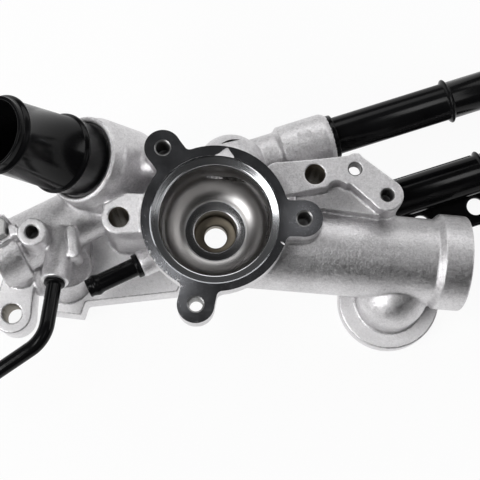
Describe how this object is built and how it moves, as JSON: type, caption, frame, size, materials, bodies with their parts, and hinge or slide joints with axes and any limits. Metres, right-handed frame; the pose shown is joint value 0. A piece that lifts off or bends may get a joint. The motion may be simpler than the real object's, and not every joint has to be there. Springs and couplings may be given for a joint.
{
  "type": "coolant thermostat housing",
  "caption": "Cast aluminium coolant housing with an empty round valve pocket, a lugged cover flange, an ear plate, side ducts and black pressed-in hose pipes.",
  "frame": {"origin": "centre of the valve seat at the cover flange's sealing face", "axes": "+Z out of the pocket, square to the cover flange; +X along the body towards the right duct; the engine face looks along -Z"},
  "size_m": [0.248, 0.1522, 0.1082],
  "materials": {
    "cast_aluminium": "bead-blasted casting with bright machined faces",
    "black_pipe": "gloss black",
    "zinc_steel": "zinc plated"
  },
  "bodies": {
    "root": {"housing": "cast_aluminium", "hose_neck": "black_pipe", "upper_pipe": "black_pipe", "lower_pipe": "black_pipe", "pipe_bracket": "black_pipe", "hose_nipple": "black_pipe", "vent_pipe": "black_pipe", "hex_plug": "zinc_steel"}
  },
  "joints": []
}
